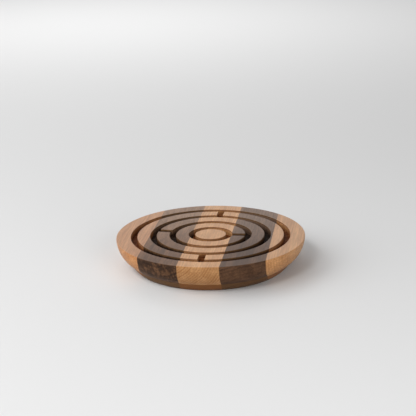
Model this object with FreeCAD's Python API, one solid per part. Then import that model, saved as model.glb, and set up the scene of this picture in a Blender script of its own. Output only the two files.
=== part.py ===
import FreeCAD, Part
import math
import os

os.makedirs("parts", exist_ok=True)

# A hand-held tilt maze: a round board glued up from five staves of two woods, with four
# ring-shaped lanes sunk in its top, gates through the walls between them, and steel balls
# that roll round the lanes when the board is tilted. The origin is at the middle of the
# flat underside, +Z is up and the staves run along Y.

# Board outline, mm
BOARD_RADIUS = 100.0
BOARD_HEIGHT = 32.0
CREASE_RADIUS = 87.0        # where the turned side meets the undercut foot
CREASE_HEIGHT = 8.5
FOOT_RADIUS = 80.0
FOOT_BULGE = 0.8            # how far the undercut stands out from a straight cone
RIM_BEVEL = 0.5             # eased edge round the top rim
LANE_BEVEL = 0.35           # eased top edges of the lanes and gates

# Staves, mm: the centre of the glued blank lies a little to the right of the board's centre
BLANK_SHIFT = 1.1
CENTRE_STAVE_WIDTH = 42.2
DARK_STAVE_WIDTH = 43.6

# Lanes, from the outside in, mm
LANE_COUNT = 4
LANE_WIDTH = 6.9
LANE_DEPTH = 6.5
OUTER_LANE_RADIUS = 81.1
LANE_PITCH = 20.45

# Gates through the walls: which wall, counted from the rim inwards, and the angle from +X
GATES = (
    (1, 89.1),
    (1, 270.9),
    (2, 172.6),
    (3, 1.2),
)
GATE_WIDTH = 6.9

# Balls: which lane each lies in at rest, and the angle from +X
BALL_DIAMETER = 5.0
BALL_CLEARANCE = 0.05       # under the ball, so that it clears the lane floor as it turns
BALLS = {
    "gate_ball": (1, 270.9),
    "second_lane_ball": (2, 287.0),
    "third_lane_ball": (3, 268.0),
    "inner_lane_ball": (4, 280.0),
}

LANE_FLOOR = BOARD_HEIGHT - LANE_DEPTH
ABOVE_BOARD = BOARD_HEIGHT + 5.0
UP = FreeCAD.Vector(0, 0, 1)
ORIGIN = FreeCAD.Vector(0, 0, 0)


def point(radius, height):
    """A point of the board's half section, which lies in the XZ plane."""
    return FreeCAD.Vector(radius, 0, height)


def lane_radius(lane):
    """The radius of a lane's centre line. Lane 1 is the outer one."""
    return OUTER_LANE_RADIUS - (lane - 1) * LANE_PITCH


def side_arc():
    """The turned side: an arc that stands upright at the rim and curves in to the crease."""
    drop = BOARD_HEIGHT - CREASE_HEIGHT
    inset = BOARD_RADIUS - CREASE_RADIUS
    radius = (drop * drop + inset * inset) / (2 * inset)
    turn = math.asin(drop / radius) / 2
    middle = point(
        BOARD_RADIUS - radius * (1 - math.cos(turn)),
        BOARD_HEIGHT - radius * math.sin(turn),
    )
    crease = point(CREASE_RADIUS, CREASE_HEIGHT)
    return Part.Arc(crease, middle, point(BOARD_RADIUS, BOARD_HEIGHT)).toShape()


def foot_arc():
    """The undercut below the crease, slightly convex, down to the flat underside."""
    chord = math.hypot(CREASE_RADIUS - FOOT_RADIUS, CREASE_HEIGHT)
    middle = point(
        (CREASE_RADIUS + FOOT_RADIUS) / 2 + FOOT_BULGE * CREASE_HEIGHT / chord,
        CREASE_HEIGHT / 2 - FOOT_BULGE * (CREASE_RADIUS - FOOT_RADIUS) / chord,
    )
    crease = point(CREASE_RADIUS, CREASE_HEIGHT)
    return Part.Arc(point(FOOT_RADIUS, 0), middle, crease).toShape()


def blank():
    """The turned board before any lane is cut."""
    edges = [
        Part.makeLine(ORIGIN, point(FOOT_RADIUS, 0)),
        foot_arc(),
        side_arc(),
        Part.makeLine(point(BOARD_RADIUS, BOARD_HEIGHT), point(0, BOARD_HEIGHT)),
        Part.makeLine(point(0, BOARD_HEIGHT), ORIGIN),
    ]
    return Part.Face(Part.Wire(edges)).revolve(ORIGIN, UP, 360)


def lane_cutter(lane):
    """The ring of wood that is turned out for one lane."""
    height = ABOVE_BOARD - LANE_FLOOR
    base = FreeCAD.Vector(0, 0, LANE_FLOOR)
    outer = Part.makeCylinder(lane_radius(lane) + LANE_WIDTH / 2, height, base)
    inner = Part.makeCylinder(lane_radius(lane) - LANE_WIDTH / 2, height, base)
    return outer.cut(inner)


def gate_cutter(wall, angle):
    """A straight slot through one wall, from the middle of one lane to that of the next."""
    start = lane_radius(wall + 1)
    corner = FreeCAD.Vector(start, -GATE_WIDTH / 2, LANE_FLOOR)
    slot = Part.makeBox(LANE_PITCH, GATE_WIDTH, ABOVE_BOARD - LANE_FLOOR, corner)
    slot.rotate(ORIGIN, UP, angle)
    return slot


def top_edges(board, on_rim):
    """The edges that lie in the board's top face: the rim's, or those of the lanes and gates."""
    found = []
    for edge in board.Edges:
        reach = max(math.hypot(v.X, v.Y) for v in edge.Vertexes)
        level = edge.BoundBox.ZMin > BOARD_HEIGHT - 0.001
        if level and (reach > BOARD_RADIUS - 0.001) == on_rim:
            found.append(edge)
    return found


def maze_board():
    """The board with its lanes and gates cut and its top edges eased, still in one piece."""
    cutters = [lane_cutter(lane) for lane in range(1, LANE_COUNT + 1)]
    cutters += [gate_cutter(wall, angle) for wall, angle in GATES]
    board = blank().cut(cutters[0].multiFuse(cutters[1:]).removeSplitter()).removeSplitter()
    board = board.makeChamfer(LANE_BEVEL, top_edges(board, on_rim=False))
    return board.makeChamfer(RIM_BEVEL, top_edges(board, on_rim=True))


def staves(board):
    """The five staves, by name, cut from the board at its glue lines."""
    centre_edge = CENTRE_STAVE_WIDTH / 2
    dark_edge = centre_edge + DARK_STAVE_WIDTH
    reach = 2 * BOARD_RADIUS
    spans = {
        "left_light_stave": (-reach, BLANK_SHIFT - dark_edge),
        "left_dark_stave": (BLANK_SHIFT - dark_edge, BLANK_SHIFT - centre_edge),
        "centre_stave": (BLANK_SHIFT - centre_edge, BLANK_SHIFT + centre_edge),
        "right_dark_stave": (BLANK_SHIFT + centre_edge, BLANK_SHIFT + dark_edge),
        "right_light_stave": (BLANK_SHIFT + dark_edge, reach),
    }
    result = {}
    for name, (left, right) in spans.items():
        corner = FreeCAD.Vector(left, -reach, -reach)
        plank = Part.makeBox(right - left, 2 * reach, 2 * reach, corner)
        result[name] = board.common(plank)
    return result


def ball(lane, angle):
    """A steel ball on the floor of its lane."""
    turn = math.radians(angle)
    centre = FreeCAD.Vector(
        lane_radius(lane) * math.cos(turn),
        lane_radius(lane) * math.sin(turn),
        LANE_FLOOR + BALL_CLEARANCE + BALL_DIAMETER / 2,
    )
    return Part.makeSphere(BALL_DIAMETER / 2, centre)


def main():
    nodes = staves(maze_board())
    for name, (lane, angle) in BALLS.items():
        nodes[name] = ball(lane, angle)
    for name, shape in nodes.items():
        if not shape.isValid():
            raise RuntimeError(f"{name} is not a valid shape")
        shape.exportStep(f"parts/{name}.step")
        box = shape.optimalBoundingBox()
        print(f"{name}: {len(shape.Solids)} solid, {shape.Volume / 1000:.2f} cm3, "
              f"X {box.XMin:.1f} to {box.XMax:.1f}, Y {box.YMin:.1f} to {box.YMax:.1f}, "
              f"Z {box.ZMin:.1f} to {box.ZMax:.1f}")


main()
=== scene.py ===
import math
from collections import namedtuple

import bmesh
import bpy
from bpy.props import FloatProperty, FloatVectorProperty, IntProperty, PointerProperty
from mathutils import Matrix, Vector


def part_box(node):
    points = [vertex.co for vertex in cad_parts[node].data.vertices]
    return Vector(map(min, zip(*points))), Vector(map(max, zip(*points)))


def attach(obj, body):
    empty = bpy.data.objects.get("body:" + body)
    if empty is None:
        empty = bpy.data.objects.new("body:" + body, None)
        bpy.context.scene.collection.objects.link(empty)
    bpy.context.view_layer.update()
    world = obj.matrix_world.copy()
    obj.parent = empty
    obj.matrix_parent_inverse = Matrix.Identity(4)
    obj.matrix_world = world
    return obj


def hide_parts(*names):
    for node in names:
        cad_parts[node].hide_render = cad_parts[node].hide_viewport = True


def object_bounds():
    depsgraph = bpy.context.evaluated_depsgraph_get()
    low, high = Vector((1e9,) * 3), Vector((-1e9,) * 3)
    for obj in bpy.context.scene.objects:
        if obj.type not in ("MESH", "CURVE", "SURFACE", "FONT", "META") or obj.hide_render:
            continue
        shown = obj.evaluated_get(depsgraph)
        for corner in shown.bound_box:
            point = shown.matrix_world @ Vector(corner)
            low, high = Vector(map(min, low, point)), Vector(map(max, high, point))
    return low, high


bl_info = {
    "name": "Tilt Maze Board",
    "version": (1, 0, 0),
    "blender": (4, 5, 0),
    "location": "3D View > Sidebar > Tilt Maze",
    "description": "A round tilt maze turned from five glued staves of two woods, with its steel balls",
    "category": "Add Mesh",
}

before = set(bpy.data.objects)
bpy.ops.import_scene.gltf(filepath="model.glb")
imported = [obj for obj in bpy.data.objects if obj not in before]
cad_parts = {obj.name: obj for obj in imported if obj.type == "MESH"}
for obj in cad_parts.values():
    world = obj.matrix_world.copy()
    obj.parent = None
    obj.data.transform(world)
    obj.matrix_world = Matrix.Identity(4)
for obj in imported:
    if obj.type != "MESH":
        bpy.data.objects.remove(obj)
CAD_LOW, CAD_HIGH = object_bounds()

# The balls' nodes, from the outer lane to the inner one
BALLS = ("gate_ball", "second_lane_ball", "third_lane_ball", "inner_lane_ball")

# Sizes of the CAD model, in metres
BOARD_RADIUS = CAD_HIGH.x
BOARD_HEIGHT = CAD_HIGH.z
BALL_RADIUS = (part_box("gate_ball")[1].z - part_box("gate_ball")[0].z) / 2
BALL_CLEARANCE = 0.00005    # under a ball
LANE_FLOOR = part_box("gate_ball")[0].z - BALL_CLEARANCE

# The turned outline below the rim, in metres
CREASE_RADIUS = 0.087
CREASE_HEIGHT = 0.0085
FOOT_RADIUS = 0.080
FOOT_BULGE = 0.0008

# Gates: which wall, counted from the rim inwards, and the angle from +X in degrees
GATES = ((1, 89.1), (1, 270.9), (2, 172.6), (3, 1.2))
CUTTER_ABOVE = 0.004        # how far a gate's cutter stands above the board
CUTTER_LIFT = 0.00002       # how far it stays above the lane floor, to keep the two cuts apart

TURN_STEPS = 360            # faces round the board
ROUND_STEPS = 4             # faces across an eased edge
ARC_STEPS = 14              # faces down the turned side
SHARP_ANGLE = 34            # degrees between two faces, from which their edge stays sharp
SIDE_MARGIN = 0.001         # a stave's side this close to the rim isn't a glue line
SPLIT_DISTANCE = 1e-7       # how close to a glue line a point counts as lying on it


def ball_centre(node):
    """The middle of a ball at rest."""
    low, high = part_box(node)
    return (low + high) / 2


def lane_radius(lane):
    """The radius of a lane's centre line, where its ball lies, to a hundredth of a millimetre."""
    centre = ball_centre(BALLS[lane - 1])
    return round(math.hypot(centre.x, centre.y), 5)


# ---------------------------------------------------------------------------------------
# Settings
# ---------------------------------------------------------------------------------------

class TiltMazeBoard(bpy.types.PropertyGroup):
    """Sizes of the turned board that finish its look."""

    lane_width: FloatProperty(
        name="Lane Width", description="Width of the lanes and gates",
        default=0.0069, min=0.004, max=0.012, precision=4, unit="LENGTH")
    lane_edge: FloatProperty(
        name="Lane Edge", description="Round on the top edges of the lanes and gates",
        default=0.0004, min=0.0001, max=0.001, precision=5, unit="LENGTH")
    lane_cove: FloatProperty(
        name="Lane Cove", description="Small hollow round where a lane's wall meets its floor",
        default=0.0004, min=0.0001, max=0.001, precision=5, unit="LENGTH")
    rim_edge: FloatProperty(
        name="Rim Edge", description="Round on the top rim",
        default=0.0007, min=0.0001, max=0.002, precision=5, unit="LENGTH")


class TiltMazeLightWood(bpy.types.PropertyGroup):
    """Colours and figure of the light staves."""

    early: FloatVectorProperty(
        name="Early Wood", description="Colour of the pale part of a growth ring",
        default=(0.58, 0.292, 0.120), size=3, min=0, max=1, subtype="COLOR")
    late: FloatVectorProperty(
        name="Late Wood", description="Colour of the dark part of a growth ring",
        default=(0.37, 0.155, 0.054), size=3, min=0, max=1, subtype="COLOR")
    fleck: FloatVectorProperty(
        name="Fleck", description="Colour of the short flecks along the grain",
        default=(0.30, 0.115, 0.040), size=3, min=0, max=1, subtype="COLOR")
    faded: FloatVectorProperty(
        name="Faded", description="Colour that the wood fades to along its length",
        default=(0.54, 0.300, 0.145), size=3, min=0, max=1, subtype="COLOR")
    ring_width: FloatProperty(
        name="Ring Width", description="Width of a growth ring",
        default=0.0025, min=0.0005, max=0.01, precision=4, unit="LENGTH")
    # Painted shade: the band under the crease is darkened towards this colour
    undercut: FloatVectorProperty(
        name="Undercut", description="Colour of the scraped band below the side",
        default=(0.19, 0.074, 0.023), size=3, min=0, max=1, subtype="COLOR")
    # Painted shade: the colour that the lanes darken towards, more with depth below the lip
    lane_shade: FloatVectorProperty(
        name="Scorch", description="What the heat of the cutter leaves of the wood's colour in the lanes",
        default=(0.30, 0.17, 0.11), size=3, min=0, max=1, subtype="COLOR")
    # Painted light and shade on the band just inside a lane's lip
    lip: FloatVectorProperty(
        name="Lip", description="Colour of the sanded band just inside a lane's lip",
        default=(0.22, 0.105, 0.055), size=3, min=0, max=1, subtype="COLOR")
    finish: FloatProperty(
        name="Finish", description="Amount of the oil finish on the top",
        default=1.0, min=0, max=1, subtype="FACTOR")
    wander: FloatProperty(
        name="Wander", description="How far the rings stray from true circles, in millimetres",
        default=7.0, min=0, max=50)
    flecks: FloatProperty(
        name="Fleck Strength", description="How clearly the flecks show",
        default=0.40, min=0, max=1, subtype="FACTOR")
    streaks: FloatProperty(
        name="Streak Strength", description="How much the fibres differ in brightness",
        default=0.19, min=0, max=1, subtype="FACTOR")


class TiltMazeDarkWood(bpy.types.PropertyGroup):
    """Colours and figure of the dark staves."""

    early: FloatVectorProperty(
        name="Early Wood", description="Colour of the pale part of a growth ring",
        default=(0.170, 0.084, 0.042), size=3, min=0, max=1, subtype="COLOR")
    late: FloatVectorProperty(
        name="Late Wood", description="Colour of the dark part of a growth ring",
        default=(0.055, 0.026, 0.013), size=3, min=0, max=1, subtype="COLOR")
    fleck: FloatVectorProperty(
        name="Pore", description="Colour of the open pores",
        default=(0.022, 0.012, 0.008), size=3, min=0, max=1, subtype="COLOR")
    faded: FloatVectorProperty(
        name="Faded", description="Colour that the wood fades to along its length",
        default=(0.290, 0.180, 0.118), size=3, min=0, max=1, subtype="COLOR")
    ring_width: FloatProperty(
        name="Ring Width", description="Width of a growth ring",
        default=0.0042, min=0.0005, max=0.01, precision=4, unit="LENGTH")
    # Painted bounce light: the band under the crease is lightened towards this colour
    undercut: FloatVectorProperty(
        name="Undercut", description="Colour of the scraped band below the side",
        default=(0.150, 0.078, 0.034), size=3, min=0, max=1, subtype="COLOR")
    # Painted shade: the colour that the lanes darken towards, more with depth below the lip
    lane_shade: FloatVectorProperty(
        name="Scorch", description="What the heat of the cutter leaves of the wood's colour in the lanes",
        default=(0.08, 0.05, 0.03), size=3, min=0, max=1, subtype="COLOR")
    # Painted light and shade on the band just inside a lane's lip
    lip: FloatVectorProperty(
        name="Lip", description="Colour of the sanded band just inside a lane's lip",
        default=(0.11, 0.056, 0.021), size=3, min=0, max=1, subtype="COLOR")
    finish: FloatProperty(
        name="Finish", description="Amount of the oil finish on the top",
        default=0.6, min=0, max=1, subtype="FACTOR")
    wander: FloatProperty(
        name="Wander", description="How far the rings stray from true circles, in millimetres",
        default=10.0, min=0, max=50)
    flecks: FloatProperty(
        name="Pore Strength", description="How clearly the pores show",
        default=0.5, min=0, max=1, subtype="FACTOR")
    streaks: FloatProperty(
        name="Streak Strength", description="How much the fibres differ in brightness",
        default=0.26, min=0, max=1, subtype="FACTOR")


class TiltMazeBalls(bpy.types.PropertyGroup):
    """Finish of the steel balls."""

    steel: FloatVectorProperty(
        name="Steel", description="Colour of the polished steel",
        default=(0.62, 0.61, 0.60), size=3, min=0, max=1, subtype="COLOR")
    cells: IntProperty(
        name="Cells", description="Faces along each side of the ball's six panels",
        default=20, min=4, max=64)


class TiltMazeStage(bpy.types.PropertyGroup):
    """Floor, lights and camera."""

    floor: FloatVectorProperty(
        name="Floor", description="Colour of the floor",
        default=(0.74, 0.74, 0.74), size=3, min=0, max=1, subtype="COLOR")
    room: FloatProperty(
        name="Room Light", description="Strength of the even light of the room",
        default=0.20, min=0, max=5)
    backdrop: FloatProperty(
        name="Backdrop Light", description="Extra strength of the room light above the backdrop",
        default=0.58, min=0, max=5)
    key: FloatProperty(
        name="Key Light", description="Power of the soft light on the left",
        default=25.2, min=0, max=1000, unit="POWER")
    back: FloatProperty(
        name="Back Light", description="Power of the soft light over the back of the floor",
        default=28.5, min=0, max=1000, unit="POWER")
    top: FloatProperty(
        name="Top Light", description="Power of the small light over the left of the camera",
        default=11.0, min=0, max=1000, unit="POWER")
    card: FloatProperty(
        name="White Card", description="Power of the low light at the front right",
        default=9.4, min=0, max=1000, unit="POWER")
    lens: FloatProperty(
        name="Lens", description="Focal length of the camera in millimetres",
        default=92.73, min=10, max=300)


# ---------------------------------------------------------------------------------------
# The turned board
# ---------------------------------------------------------------------------------------

def arc(centre, radius, start, end, steps):
    """Points (radius, height) on an arc, with the angles in degrees from the outward axis."""
    points = []
    for i in range(steps + 1):
        turn = math.radians(start + (end - start) * i / steps)
        points.append((centre[0] + radius * math.cos(turn), centre[1] + radius * math.sin(turn)))
    return points


def side_profile():
    """The turned side from the crease up to the rim: upright at the top, curving in below."""
    drop = BOARD_HEIGHT - CREASE_HEIGHT
    inset = BOARD_RADIUS - CREASE_RADIUS
    radius = (drop * drop + inset * inset) / (2 * inset)
    low = -math.degrees(math.asin(drop / radius))
    return arc((BOARD_RADIUS - radius, BOARD_HEIGHT), radius, low, 0, ARC_STEPS)


def foot_profile():
    """The slightly convex undercut, from the underside up to the crease."""
    chord = Vector((CREASE_RADIUS - FOOT_RADIUS, CREASE_HEIGHT))
    outward = Vector((chord.y, -chord.x)).normalized()
    points = []
    for i in range(ROUND_STEPS + 1):
        share = i / ROUND_STEPS
        bulge = outward * FOOT_BULGE * 4 * share * (1 - share)
        point = Vector((FOOT_RADIUS, 0)) + chord * share + bulge
        points.append((point.x, point.y))
    return points


def groove_profile(middle, width, edge, cove):
    """A lane's outline from its outer lip down, across the floor and up to its inner lip."""
    outer, inner = middle + width / 2, middle - width / 2
    top, floor = BOARD_HEIGHT, LANE_FLOOR
    points = arc((outer + edge, top - edge), edge, 90, 180, ROUND_STEPS)
    points += arc((outer - cove, floor + cove), cove, 0, -90, ROUND_STEPS)
    points += arc((inner + cove, floor + cove), cove, -90, -180, ROUND_STEPS)
    points += arc((inner - edge, top - edge), edge, 0, 90, ROUND_STEPS)
    return points


def board_profile(settings):
    """The board's half outline, from the edge of the underside to the inner lane's inner lip."""
    rim = settings.rim_edge
    side = [p for p in side_profile() if p[1] < BOARD_HEIGHT - rim]
    points = foot_profile() + side[1:]
    points += arc((BOARD_RADIUS - rim, BOARD_HEIGHT - rim), rim, 0, 90, ROUND_STEPS)
    for lane in range(1, len(BALLS) + 1):
        points += groove_profile(
            lane_radius(lane), settings.lane_width, settings.lane_edge, settings.lane_cove)
    return points


def object_from(bm, name):
    """Puts a bmesh into a new object in the scene."""
    mesh = bpy.data.meshes.new(name)
    bm.to_mesh(mesh)
    bm.free()
    made = bpy.data.objects.new(name, mesh)
    bpy.context.scene.collection.objects.link(made)
    return made


def turned(points, name):
    """An object turned round the Z axis from (radius, height) points, closed below and above."""
    bm = bmesh.new()
    rings = []
    for radius, height in points:
        ring = []
        for i in range(TURN_STEPS):
            turn = 2 * math.pi * i / TURN_STEPS
            ring.append(bm.verts.new((radius * math.cos(turn), radius * math.sin(turn), height)))
        rings.append(ring)
    for low, high in zip(rings, rings[1:]):
        for i in range(TURN_STEPS):
            j = (i + 1) % TURN_STEPS
            bm.faces.new((low[i], low[j], high[j], high[i]))
    bm.faces.new(list(reversed(rings[0])))
    bm.faces.new(rings[-1])
    return object_from(bm, name)


def gate_cutter(wall, angle, settings, name):
    """The wood taken out for a gate, with a flared top so that the lips it leaves are round."""
    half, edge, cove = settings.lane_width / 2, settings.lane_edge, settings.lane_cove
    floor = LANE_FLOOR + CUTTER_LIFT
    lip = arc((half + edge, BOARD_HEIGHT - edge), edge, 180, 90, ROUND_STEPS)
    foot = arc((half - cove, floor + cove), cove, -90, 0, ROUND_STEPS)
    right = foot + lip + [(half + edge, BOARD_HEIGHT + CUTTER_ABOVE)]
    outline = right + [(-across, height) for across, height in reversed(right)]
    turn = Matrix.Rotation(math.radians(angle), 4, "Z")
    bm = bmesh.new()
    ends = []
    for along in (lane_radius(wall + 1), lane_radius(wall)):
        corners = [turn @ Vector((along, -across, height)) for across, height in outline]
        ends.append([bm.verts.new(corner) for corner in corners])
    start, end = ends
    for i in range(len(outline)):
        j = (i + 1) % len(outline)
        bm.faces.new((start[i], start[j], end[j], end[i]))
    bm.faces.new(list(reversed(start)))
    bm.faces.new(end)
    bmesh.ops.recalc_face_normals(bm, faces=bm.faces)
    return object_from(bm, name)


def cut_board(settings):
    """The whole board, turned and with its gates cut, as a mesh."""
    board = turned(board_profile(settings), "uncut_board")
    cutters = []
    for i, (wall, angle) in enumerate(GATES):
        cutters.append(gate_cutter(wall, angle, settings, f"cutter_{i}"))
    for cutter in cutters:
        cut = board.modifiers.new(cutter.name, "BOOLEAN")
        cut.operation = "DIFFERENCE"
        cut.solver = "EXACT"
        cut.object = cutter
    seen = board.evaluated_get(bpy.context.evaluated_depsgraph_get())
    mesh = bpy.data.meshes.new_from_object(seen)
    for spare in [board, *cutters]:
        spare_mesh = spare.data
        bpy.data.objects.remove(spare)
        bpy.data.meshes.remove(spare_mesh)
    return mesh


def stave_from(board, node, name):
    """One stave, cut from the board's mesh at the glue lines of its CAD node."""
    low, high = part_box(node)
    bm = bmesh.new()
    bm.from_mesh(board)
    for place, side in ((low.x, -1), (high.x, 1)):
        if abs(place) > BOARD_RADIUS - SIDE_MARGIN:
            continue
        cut = bmesh.ops.bisect_plane(
            bm, geom=[*bm.verts, *bm.edges, *bm.faces], dist=SPLIT_DISTANCE,
            plane_co=(place, 0, 0), plane_no=(side, 0, 0), clear_outer=True)
        edges = [part for part in cut["geom_cut"] if isinstance(part, bmesh.types.BMEdge)]
        bmesh.ops.holes_fill(bm, edges=edges, sides=0)
    bmesh.ops.recalc_face_normals(bm, faces=bm.faces)
    stave = object_from(bm, name)
    stave.data.shade_smooth()
    stave.data.set_sharp_from_angle(angle=math.radians(SHARP_ANGLE))
    weigh = stave.modifiers.new("even_shading", "WEIGHTED_NORMAL")
    weigh.keep_sharp = True
    return stave


# ---------------------------------------------------------------------------------------
# Node helpers
# ---------------------------------------------------------------------------------------

# A Mix node's sockets for colours: its factor, its two colours and its result
MIX_FACTOR, MIX_FIRST, MIX_SECOND, MIX_RESULT = 0, 6, 7, 2


def opaque(colour):
    """A colour with the alpha that a shader's socket wants."""
    return (*colour, 1.0)


def add_node(tree, kind, values=None, **settings):
    """Adds a node, sets its settings, and sets or links each of its inputs."""
    made = tree.nodes.new(kind)
    for name, value in settings.items():
        setattr(made, name, value)
    for name, value in (values or {}).items():
        if isinstance(value, bpy.types.NodeSocket):
            tree.links.new(value, made.inputs[name])
        else:
            made.inputs[name].default_value = value
    return made


def maths(tree, operation, *values, clamp=False):
    """A Math node's result."""
    node = add_node(
        tree, "ShaderNodeMath", dict(enumerate(values)), operation=operation, use_clamp=clamp)
    return node.outputs[0]


def vector_maths(tree, operation, *values):
    """A Vector Math node's vector."""
    node = add_node(tree, "ShaderNodeVectorMath", dict(enumerate(values)), operation=operation)
    return node.outputs["Vector"]


def scaled(tree, vector, amount):
    """A vector times a number."""
    values = {0: vector, "Scale": amount}
    return add_node(tree, "ShaderNodeVectorMath", values, operation="SCALE").outputs["Vector"]


def length_of(tree, vector):
    """How long a vector is."""
    return add_node(tree, "ShaderNodeVectorMath", {0: vector}, operation="LENGTH").outputs["Value"]


def dot_product(tree, first, second):
    """How far two directions agree: 1 for the same one, 0 square to it, -1 for the opposite one."""
    values = {0: first, 1: second}
    return add_node(tree, "ShaderNodeVectorMath", values, operation="DOT_PRODUCT").outputs["Value"]


def split(tree, vector):
    """The X, Y and Z of a vector."""
    return add_node(tree, "ShaderNodeSeparateXYZ", {0: vector}).outputs


def remap(tree, value, low, high, to_low=0.0, to_high=1.0):
    """A value taken smoothly from one range to another."""
    values = {"Value": value, "From Min": low, "From Max": high, "To Min": to_low, "To Max": to_high}
    return add_node(tree, "ShaderNodeMapRange", values, interpolation_type="SMOOTHSTEP").outputs["Result"]


def mix_colour(tree, amount, first, second, blend="MIX"):
    """A blend of two colours."""
    values = {MIX_FACTOR: amount, MIX_FIRST: first, MIX_SECOND: second}
    node = add_node(tree, "ShaderNodeMix", values, data_type="RGBA", blend_type=blend)
    return node.outputs[MIX_RESULT]


def tinted(tree, colour, tint):
    """A colour multiplied by another one or by a brightness."""
    return mix_colour(tree, 1.0, colour, tint, "MULTIPLY")


def stretched(tree, spot, size):
    """A place divided by a size (x, y, z), for a texture whose features have that size."""
    return vector_maths(tree, "MULTIPLY", spot, [1 / length for length in size])


def noise(tree, spot, size, detail, roughness=0.5):
    """A noise texture whose features have a size (x, y, z)."""
    return add_node(tree, "ShaderNodeTexNoise", {
        "Vector": stretched(tree, spot, size), "Scale": 1.0, "Detail": detail, "Roughness": roughness})


def new_group(name, inputs):
    """An empty shader node group with its inputs, as (group, its inputs' values)."""
    group = bpy.data.node_groups.new(name, "ShaderNodeTree")
    for socket_name, default in inputs.items():
        socket = group.interface.new_socket(socket_name, in_out="INPUT", socket_type="NodeSocketFloat")
        socket.default_value = default
    return group, group.nodes.new("NodeGroupInput").outputs


def put_out(group, values):
    """Gives a node group an output for each of its named values."""
    for name in values:
        group.interface.new_socket(name, in_out="OUTPUT", socket_type="NodeSocketFloat")
    result = group.nodes.new("NodeGroupOutput").inputs
    for name, value in values.items():
        group.links.new(value, result[name])


# ---------------------------------------------------------------------------------------
# Wood. Lengths in its node groups are millimetres, and the grain runs along Y
# ---------------------------------------------------------------------------------------

MILLIMETRES = 1000.0        # in a metre

# Sizes (x, y, z) of what shows in the wood
WAVES = (42, 170, 42)       # slow bends of the growth rings
RIPPLES = (7, 46, 7)        # quick bends on the slow ones
BANDS = (9, 120, 9)         # lighter and darker wood
FIBRES = (1.3, 24, 1.3)
FLECKS = (1.2, 6, 1.2)
BLOTCHES = (3.4, 12, 7)
SHADE_PATCHES = (5, 5, 1.2)         # patches of stronger and weaker painted shade down a lane's wall

# The stretch of a texture's values over which each of them comes or goes
BAND_VALUES = (0.34, 0.66)
FIBRE_VALUES = (0.30, 0.70)
FLECK_VALUES = (0.12, 0.34)
BLOTCH_VALUES = (0.40, 0.56)
SHADE_PATCH_VALUES = (0.3, 0.7)

SEED_STEP = (37, 311, 71)   # from the wood of one seed to that of the next
RIPPLE_SHARE = 0.16         # how strong the ripples are, against the waves
LATE_WOOD = 2.2             # how suddenly a ring darkens at its end
FAINT_YEAR = 0.25           # how strong the faintest ring is, against 1 for the strongest
FADE_START, FADE_END = -55.0, 75.0      # where along Y the fading starts and is complete
FACING_START, FACING_FULL = 0.30, 0.80  # how far a face turns to an axis to count partly and fully
SIDE_POLISH = 0.4           # polish of the upright side, against 1 for the flat top

# Depths below the top: where a lane counts as cut, and how the band of painted light and shade
# under its lip comes and goes
CUT_START, CUT_FULL = 0.1, 0.9
LIP_START, LIP_FULL, LIP_FADE, LIP_END = 0.10, 0.35, 0.9, 1.7
BELOW_FLOOR = 1.0           # how far below its floor a lane's space reaches
CREASE_EDGE = (-0.2, 0.4)   # depths below the crease where the painted shading starts and is full

LANE_SHADE_RISE = 0.75          # under 1, so the painted shade deepens fastest close to the lip
SHADE_PATCH_STRENGTH = (0.8, 1.2)  # of the painted shade, from its palest to its darkest patches
OUTER_WALL = (-0.8, -0.2)   # how far a wall faces outward to count fully as outer, and not at all
OUTER_WALL_RELIEF = ((22.0, 0.75), (66.0, 0.35))    # radius, share of the painted shade that is spared


def ring_strength(tree, spot, shifted, given):
    """Rings round the heart of the tree, bent by slow noise along the grain, fainter in some years."""
    bends = []
    for size in (WAVES, RIPPLES):
        bend = noise(tree, shifted, size, 2.0).outputs["Color"]
        bends.append(vector_maths(tree, "SUBTRACT", bend, (0.5, 0.5, 0.5)))
    bend = vector_maths(tree, "ADD", bends[0], scaled(tree, bends[1], RIPPLE_SHARE))
    x, _, z = split(tree, vector_maths(tree, "ADD", spot, scaled(tree, bend, given["Wander"])))
    across = maths(tree, "SUBTRACT", x, given["Heart X"])
    up = maths(tree, "SUBTRACT", z, given["Heart Z"])
    spoke = add_node(tree, "ShaderNodeCombineXYZ", {0: across, 2: up}).outputs[0]
    years = maths(tree, "DIVIDE", length_of(tree, spoke), given["Ring Width"])
    growth = maths(tree, "POWER", maths(tree, "FRACT", years), LATE_WOOD)
    luck = add_node(
        tree, "ShaderNodeTexWhiteNoise", {"W": maths(tree, "FLOOR", years)}, noise_dimensions="1D")
    strength = maths(tree, "MULTIPLY_ADD", luck.outputs["Value"], 1 - FAINT_YEAR, FAINT_YEAR)
    return maths(tree, "MULTIPLY", growth, strength)


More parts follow.
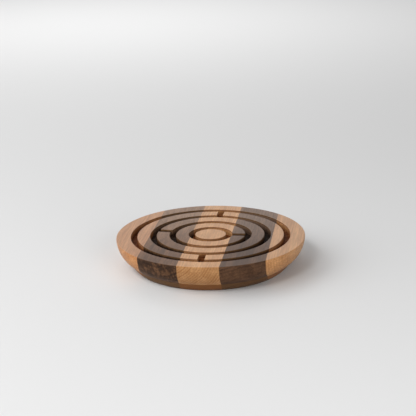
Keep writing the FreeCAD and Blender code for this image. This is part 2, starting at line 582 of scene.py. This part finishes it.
def wood_figure():
    """The figure of a sawn stave. The heart of its tree and its seed make it each stave's own."""
    found = bpy.data.node_groups.get("Wood Figure")
    if found:
        return found
    tree, given = new_group("Wood Figure", {
        "Heart X": 0.0, "Heart Z": -60.0, "Ring Width": 2.6, "Wander": 5.0, "Seed": 0.0})
    place = add_node(tree, "ShaderNodeTexCoord").outputs
    spot = scaled(tree, place["Object"], MILLIMETRES)
    shifted = vector_maths(tree, "ADD", spot, scaled(tree, SEED_STEP, given["Seed"]))
    bands = noise(tree, shifted, BANDS, 4.0, 0.55).outputs[0]
    fibres = noise(tree, shifted, FIBRES, 4.0, 0.7).outputs[0]
    blotches = noise(tree, shifted, BLOTCHES, 3.0, 0.65).outputs[0]
    cells = add_node(tree, "ShaderNodeTexVoronoi", {
        "Vector": stretched(tree, shifted, FLECKS), "Scale": 1.0, "Randomness": 1.0}).outputs["Distance"]
    facing = split(tree, place["Normal"])
    put_out(tree, {
        "Rings": ring_strength(tree, spot, shifted, given),
        "Tone": remap(tree, bands, *BAND_VALUES),
        "Fibre": fibres,
        "Flecks": remap(tree, cells, *FLECK_VALUES, 1.0, 0.0),
        "Mottle": remap(tree, blotches, *BLOTCH_VALUES),
        "Length": remap(tree, split(tree, spot)[1], FADE_START, FADE_END),
        "End Grain": remap(tree, maths(tree, "ABSOLUTE", facing[1]), FACING_START, FACING_FULL),
        "Polish": remap(tree, facing[2], FACING_START, FACING_FULL, SIDE_POLISH, 1.0)})
    return tree


def lane_cut():
    """Where the cutter has been, and where shading is painted: down the lanes, just inside their lips and
    below the crease.
    """
    found = bpy.data.node_groups.get("Lane Cut")
    if found:
        return found
    tree, given = new_group("Lane Cut", {
        "Top": 32.0, "Floor": 25.5, "Outer Radius": 85.0, "Crease": 8.5})
    place = add_node(tree, "ShaderNodeTexCoord").outputs
    spot = scaled(tree, place["Object"], MILLIMETRES)
    height = split(tree, spot)[2]
    spoke = vector_maths(tree, "MULTIPLY", spot, (1.0, 1.0, 0.0))
    radius = length_of(tree, spoke)

    # The space of the lanes: inside the outermost wall, from the top to just below the floor
    drop = maths(tree, "SUBTRACT", given["Top"], height)
    full = maths(tree, "SUBTRACT", given["Top"], given["Floor"])
    within = maths(tree, "LESS_THAN", radius, given["Outer Radius"])
    raised = maths(tree, "LESS_THAN", drop, maths(tree, "ADD", full, BELOW_FLOOR))
    area = maths(tree, "MULTIPLY", within, raised)

    # Painted shade deepens below the lip. Outer walls get less of it, most of all in the small lanes
    deep = maths(tree, "POWER", maths(tree, "DIVIDE", drop, full, clamp=True), LANE_SHADE_RISE)
    outward = dot_product(tree, place["Normal"], vector_maths(tree, "NORMALIZE", spoke))
    outer_wall = remap(tree, outward, *OUTER_WALL, 1.0, 0.0)
    (small, most), (large, least) = OUTER_WALL_RELIEF
    relief = maths(tree, "MULTIPLY", outer_wall, remap(tree, radius, small, large, most, least))
    shade_patches = remap(tree, noise(tree, spot, SHADE_PATCHES, 2.0).outputs[0], *SHADE_PATCH_VALUES, *SHADE_PATCH_STRENGTH)
    lane_shade = maths(tree, "MULTIPLY", deep, maths(tree, "SUBTRACT", 1.0, relief))
    lane_shade = maths(tree, "MULTIPLY", lane_shade, shade_patches, clamp=True)

    # Painted light and shade on the band just inside a lane's lip
    fade = remap(tree, drop, LIP_FADE, LIP_END, 1.0, 0.0)
    lip = maths(tree, "MULTIPLY", remap(tree, drop, LIP_START, LIP_FULL), fade)
    # Painted shading on the undercut below the crease: darker on the light wood, lighter on the dark wood
    below = maths(tree, "SUBTRACT", given["Crease"], height)
    put_out(tree, {
        "Scorch": maths(tree, "MULTIPLY", lane_shade, area),
        "Inside": maths(tree, "MULTIPLY", area, remap(tree, drop, CUT_START, CUT_FULL)),
        "Lip": maths(tree, "MULTIPLY", lip, area),
        "Undercut": remap(tree, below, *CREASE_EDGE)})
    return tree


# A stave: its CAD node and its piece, the place (x, z) of the tree's heart in millimetres, a seed,
# its tint, the brightness of its ends, how strong the rings are on its ends, how far it fades to
# the back, how blotched its front end is, and how far its undercut takes the painted shading's colour
Stave = namedtuple("Stave", "node piece heart seed tint ends rings fade blotch undercut")

LIGHT_STAVES = (
    Stave("left_light_stave", "left_light_stave_wood", heart=(-210.0, -30.0), seed=1.0,
          tint=(0.865, 0.845, 0.89), ends=1.12, rings=0.3, fade=0.0, blotch=0.1, undercut=0.8),
    Stave("centre_stave", "centre_stave_wood", heart=(-46.0, 60.0), seed=2.0,
          tint=(1.06, 1.13, 1.18), ends=0.80, rings=0.8, fade=0.0, blotch=0.05, undercut=0.9),
    Stave("right_light_stave", "right_light_stave_wood", heart=(250.0, 12.0), seed=3.0,
          tint=(0.90, 0.935, 0.975), ends=1.18, rings=0.4, fade=0.0, blotch=0.1, undercut=0.8),
)
DARK_STAVES = (
    Stave("left_dark_stave", "left_dark_stave_wood", heart=(-48.0, 74.0), seed=4.0,
          tint=(1.05, 1.05, 1.05), ends=0.84, rings=0.3, fade=0.82, blotch=0.9, undercut=0.9),
    Stave("right_dark_stave", "right_dark_stave_wood", heart=(64.0, -150.0), seed=5.0,
          tint=(0.68, 0.68, 0.71), ends=1.12, rings=0.3, fade=0.90, blotch=0.15, undercut=0.6),
)

RING_CONTRAST = 0.5         # on the top, where the grain lies flat
TONE_CONTRAST = 0.5
BLOTCH_DEPTH = 0.8
ROUGHNESS = (0.5, 0.2)      # between the fibres, and how much more it is on them
RAW_END = 0.85              # how much of the oil's shine the end grain loses
FLECK_RELIEF = 0.6          # how deep the flecks are, against how high the fibres stand
RELIEF_HEIGHT = 0.00012     # of the fibres, in metres
LIP_ROUNDS = 1.5            # the lanes' space ends this many lip rounds past the outer wall


def wood_colour(tree, look, cut, stave, wood):
    """One stave's colour, from its figure, with painted shading in its lanes, just inside their lips and
    on its undercut.
    """
    contrast = maths(tree, "MULTIPLY_ADD", look["End Grain"], stave.rings, RING_CONTRAST)
    shade = maths(tree, "MULTIPLY", look["Rings"], contrast)
    shade = maths(tree, "MULTIPLY_ADD", look["Tone"], TONE_CONTRAST, shade, clamp=True)
    colour = mix_colour(tree, shade, opaque(wood.early), opaque(wood.late))
    faded = maths(tree, "MULTIPLY", look["Length"], stave.fade)
    colour = mix_colour(tree, faded, colour, opaque(wood.faded))

    streak = remap(tree, look["Fibre"], *FIBRE_VALUES, 1.0 + wood.streaks, 1.0 - wood.streaks)
    colour = tinted(tree, colour, tinted(tree, opaque(stave.tint), streak))
    flecked = maths(tree, "MULTIPLY", look["Flecks"], wood.flecks)
    colour = mix_colour(tree, flecked, colour, opaque(wood.fleck))

    front = maths(tree, "SUBTRACT", 1.0, look["Length"])
    front_end = maths(tree, "MULTIPLY", look["End Grain"], front)
    blotched = maths(tree, "MULTIPLY", look["Mottle"], front_end)
    blotched = maths(tree, "MULTIPLY", blotched, stave.blotch * BLOTCH_DEPTH)
    colour = mix_colour(tree, blotched, colour, opaque(wood.fleck))
    ends = maths(tree, "MULTIPLY_ADD", look["End Grain"], stave.ends - 1.0, 1.0)
    colour = tinted(tree, colour, ends)

    # Painted shading on the undercut below the crease: darker on the light wood, lighter on the dark wood
    undercut_shading = maths(tree, "MULTIPLY", cut["Undercut"], stave.undercut)
    colour = mix_colour(tree, undercut_shading, colour, opaque(wood.undercut))
    # Painted shade down the lanes, deeper below the lip
    colour = mix_colour(tree, cut["Scorch"], colour, tinted(tree, colour, opaque(wood.lane_shade)))
    # Painted light and shade on the band just inside a lane's lip
    return mix_colour(tree, cut["Lip"], colour, tinted(tree, opaque(wood.lip), streak))


def wood_material(stave, wood, board):
    """One stave's wood, oiled on the top and drier on its ends and in its lanes."""
    material = bpy.data.materials.new(stave.piece)
    material.use_nodes = True
    tree = material.node_tree
    shader = tree.nodes["Principled BSDF"].inputs
    lanes_end = lane_radius(1) + board.lane_width / 2 + board.lane_edge * LIP_ROUNDS
    look = add_node(tree, "ShaderNodeGroup", {
        "Heart X": stave.heart[0],
        "Heart Z": stave.heart[1],
        "Ring Width": wood.ring_width * MILLIMETRES,
        "Wander": wood.wander,
        "Seed": stave.seed}, node_tree=wood_figure()).outputs
    cut = add_node(tree, "ShaderNodeGroup", {
        "Top": BOARD_HEIGHT * MILLIMETRES,
        "Floor": LANE_FLOOR * MILLIMETRES,
        "Outer Radius": lanes_end * MILLIMETRES,
        "Crease": CREASE_HEIGHT * MILLIMETRES}, node_tree=lane_cut()).outputs
    tree.links.new(wood_colour(tree, look, cut, stave, wood), shader["Base Color"])

    shader["Specular IOR Level"].default_value = 0.07
    shader["Coat Roughness"].default_value = 0.34
    smooth, rougher = ROUGHNESS
    tree.links.new(maths(tree, "MULTIPLY_ADD", look["Fibre"], rougher, smooth), shader["Roughness"])
    bare = maths(tree, "MAXIMUM", maths(tree, "MULTIPLY", look["End Grain"], RAW_END), cut["Inside"])
    oiled = maths(tree, "MULTIPLY", look["Polish"], maths(tree, "SUBTRACT", 1.0, bare))
    tree.links.new(maths(tree, "MULTIPLY", oiled, wood.finish), shader["Coat Weight"])
    hollows = maths(tree, "MULTIPLY", look["Flecks"], FLECK_RELIEF)
    height = maths(tree, "SUBTRACT", look["Fibre"], hollows)
    bump = add_node(
        tree, "ShaderNodeBump", {"Strength": 0.5, "Distance": RELIEF_HEIGHT, "Height": height})
    tree.links.new(bump.outputs[0], shader["Normal"])
    return material


def add_staves(staves, wood, board):
    """Builds some of the staves, each with the wood of its own tree."""
    mesh = cut_board(board)
    for stave in staves:
        piece = stave_from(mesh, stave.node, stave.piece)
        piece.data.materials.append(wood_material(stave, wood, board))
        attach(piece, "board")
        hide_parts(stave.node)
    bpy.data.meshes.remove(mesh)


class TILTMAZE_OT_light_staves(bpy.types.Operator):
    """Turn the three light staves, with their lanes and gates"""

    bl_idname = "tiltmaze.light_staves"
    bl_label = "Light Staves"

    def execute(self, context):
        scene = context.scene
        add_staves(LIGHT_STAVES, scene.tilt_maze_light_wood, scene.tilt_maze_board)
        return {"FINISHED"}


class TILTMAZE_OT_dark_staves(bpy.types.Operator):
    """Turn the two dark staves, with their lanes and gates"""

    bl_idname = "tiltmaze.dark_staves"
    bl_label = "Dark Staves"

    def execute(self, context):
        scene = context.scene
        add_staves(DARK_STAVES, scene.tilt_maze_dark_wood, scene.tilt_maze_board)
        return {"FINISHED"}


# ---------------------------------------------------------------------------------------
# Balls
# ---------------------------------------------------------------------------------------

MARKS = (1 / 900, 1 / 900, 1 / 2600)    # size (x, y, z) of the rolling marks, in metres
MARK_VALUES = (0.35, 0.7)               # the stretch of their texture's values that shows
STEEL_ROUGHNESS = (0.10, 0.20)          # between the marks and on them


def round_ball(centre, radius, cells, name):
    """A ball made of six square panels, which has no poles."""
    bm = bmesh.new()
    bmesh.ops.create_cube(bm, size=2.0)
    bmesh.ops.subdivide_edges(bm, edges=bm.edges, cuts=cells - 1, use_grid_fill=True)
    for vertex in bm.verts:
        even = Vector([math.tan(c * math.pi / 4) for c in vertex.co])
        vertex.co = Vector(centre) + even.normalized() * radius
    ball = object_from(bm, name)
    ball.data.shade_smooth()
    return ball


def steel_material(settings):
    """Polished bearing steel with faint rolling marks."""
    material = bpy.data.materials.new("polished_steel")
    material.use_nodes = True
    tree = material.node_tree
    shader = tree.nodes["Principled BSDF"].inputs
    shader["Base Color"].default_value = opaque(settings.steel)
    shader["Metallic"].default_value = 1.0
    place = add_node(tree, "ShaderNodeTexCoord").outputs
    marks = noise(tree, place["Object"], MARKS, 3.0).outputs[0]
    tree.links.new(remap(tree, marks, *MARK_VALUES, *STEEL_ROUGHNESS), shader["Roughness"])
    return material


class TILTMAZE_OT_balls(bpy.types.Operator):
    """Put a steel ball in each lane"""

    bl_idname = "tiltmaze.balls"
    bl_label = "Steel Balls"

    def execute(self, context):
        settings = context.scene.tilt_maze_balls
        steel = steel_material(settings)
        for node in BALLS:
            ball = round_ball(ball_centre(node), BALL_RADIUS, settings.cells, node + "_steel")
            ball.data.materials.append(steel)
            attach(ball, node)
            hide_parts(node)
        return {"FINISHED"}


# ---------------------------------------------------------------------------------------
# Stage
# ---------------------------------------------------------------------------------------

CAMERA_PLACE = Vector((0.16135, -1.06424, 0.40338))
CAMERA_AIM = Vector((-0.00338, 0.00814, 0.05828))
CAMERA_ROLL = math.radians(-1.363)
CAMERA_RANGE = (0.01, 60.0)
FLOOR_SIZE = 16.0
BACKDROP_DIRECTION = (-0.45, 0.83, 0.33)
BACKDROP_EDGE = (0.4, 0.95)     # where its light starts and is full, as cosines from its direction

# A light: its name, which is also that of its power's setting, where it hangs, where it aims, how
# wide it is, and whether it is mirrored in what shines
Light = namedtuple("Light", "name place aim size glossy")

LIGHTS = (
    Light("key", (-1.34, -0.60, 0.97), aim=(0.0, 0.0, 0.0), size=1.6, glossy=True),
    Light("top", (-0.52, -1.45, 1.65), aim=(0.0, 0.0, 0.0), size=0.5, glossy=True),
    Light("card", (0.90, -1.20, 0.55), aim=(0.0, 0.0, 0.0), size=0.8, glossy=True),
    Light("back", (-0.69, 1.73, 1.68), aim=(-0.58, 3.0, 0.0), size=1.2, glossy=False),
)


def add_floor(settings):
    """A plain pale floor that runs out of sight."""
    bm = bmesh.new()
    bmesh.ops.create_grid(bm, x_segments=8, y_segments=8, size=FLOOR_SIZE / 2)
    floor = object_from(bm, "studio_floor")
    material = bpy.data.materials.new("studio_floor")
    material.use_nodes = True
    shader = material.node_tree.nodes["Principled BSDF"].inputs
    shader["Base Color"].default_value = opaque(settings.floor)
    shader["Roughness"].default_value = 0.9
    shader["Specular IOR Level"].default_value = 0.1
    floor.data.materials.append(material)


def add_room_light(settings):
    """White light from all round, stronger from the backdrop."""
    world = bpy.data.worlds.new("studio")
    world.use_nodes = True
    tree = world.node_tree
    background = tree.nodes["Background"].inputs
    background["Color"].default_value = opaque((1.0, 1.0, 1.0))
    place = add_node(tree, "ShaderNodeTexCoord").outputs
    towards = dot_product(tree, place["Generated"], BACKDROP_DIRECTION)
    full = settings.room + settings.backdrop
    tree.links.new(remap(tree, towards, *BACKDROP_EDGE, settings.room, full), background["Strength"])
    bpy.context.scene.world = world


def add_light(light, power):
    """A square soft light."""
    data = bpy.data.lights.new(light.name, "AREA")
    data.shape = "SQUARE"
    data.size = light.size
    data.energy = power
    lamp = bpy.data.objects.new(light.name, data)
    lamp.location = light.place
    lamp.rotation_mode = "QUATERNION"
    lamp.rotation_quaternion = (Vector(light.aim) - Vector(light.place)).to_track_quat("-Z", "Y")
    lamp.visible_glossy = light.glossy
    bpy.context.scene.collection.objects.link(lamp)


def add_camera(lens):
    """The camera, in front of the board and a little above it."""
    data = bpy.data.cameras.new("camera")
    data.lens = lens
    data.sensor_width = 36.0
    data.clip_start, data.clip_end = CAMERA_RANGE
    camera = bpy.data.objects.new("camera", data)
    aim = (CAMERA_AIM - CAMERA_PLACE).to_track_quat("-Z", "Y").to_matrix().to_4x4()
    roll = Matrix.Rotation(CAMERA_ROLL, 4, "Z")
    camera.matrix_world = Matrix.Translation(CAMERA_PLACE) @ aim @ roll
    bpy.context.scene.collection.objects.link(camera)
    bpy.context.scene.camera = camera


class TILTMAZE_OT_stage(bpy.types.Operator):
    """Lay the floor, hang the lights and set up the camera"""

    bl_idname = "tiltmaze.stage"
    bl_label = "Studio Stage"

    def execute(self, context):
        settings = context.scene.tilt_maze_stage
        context.scene.view_settings.view_transform = "Standard"
        add_floor(settings)
        add_room_light(settings)
        for light in LIGHTS:
            add_light(light, getattr(settings, light.name))
        add_camera(settings.lens)
        return {"FINISHED"}


# ---------------------------------------------------------------------------------------
# Panel and registration
# ---------------------------------------------------------------------------------------

OPERATORS = (TILTMAZE_OT_stage, TILTMAZE_OT_light_staves, TILTMAZE_OT_dark_staves, TILTMAZE_OT_balls)
SETTINGS = {
    "tilt_maze_board": TiltMazeBoard,
    "tilt_maze_light_wood": TiltMazeLightWood,
    "tilt_maze_dark_wood": TiltMazeDarkWood,
    "tilt_maze_balls": TiltMazeBalls,
    "tilt_maze_stage": TiltMazeStage,
}


class TILTMAZE_PT_panel(bpy.types.Panel):
    """Builds the tilt maze piece by piece"""

    bl_label = "Tilt Maze"
    bl_space_type = "VIEW_3D"
    bl_region_type = "UI"
    bl_category = "Tilt Maze"

    def draw(self, context):
        for operator in OPERATORS:
            self.layout.operator(operator.bl_idname)
        for name, group in SETTINGS.items():
            box = self.layout.box()
            box.label(text=group.__doc__)
            for setting in group.__annotations__:
                box.prop(getattr(context.scene, name), setting)


def register():
    """Adds the settings, the operators and the panel."""
    for name, group in SETTINGS.items():
        bpy.utils.register_class(group)
        setattr(bpy.types.Scene, name, PointerProperty(type=group))
    for each in (*OPERATORS, TILTMAZE_PT_panel):
        bpy.utils.register_class(each)


def unregister():
    """Takes everything that register added away again."""
    for each in reversed((*OPERATORS, TILTMAZE_PT_panel)):
        bpy.utils.unregister_class(each)
    for name, group in reversed(SETTINGS.items()):
        delattr(bpy.types.Scene, name)
        bpy.utils.unregister_class(group)


def main():
    register()
    bpy.ops.tiltmaze.stage()
    bpy.ops.tiltmaze.light_staves()
    bpy.ops.tiltmaze.dark_staves()
    bpy.ops.tiltmaze.balls()


if __name__ == "__main__":
    main()
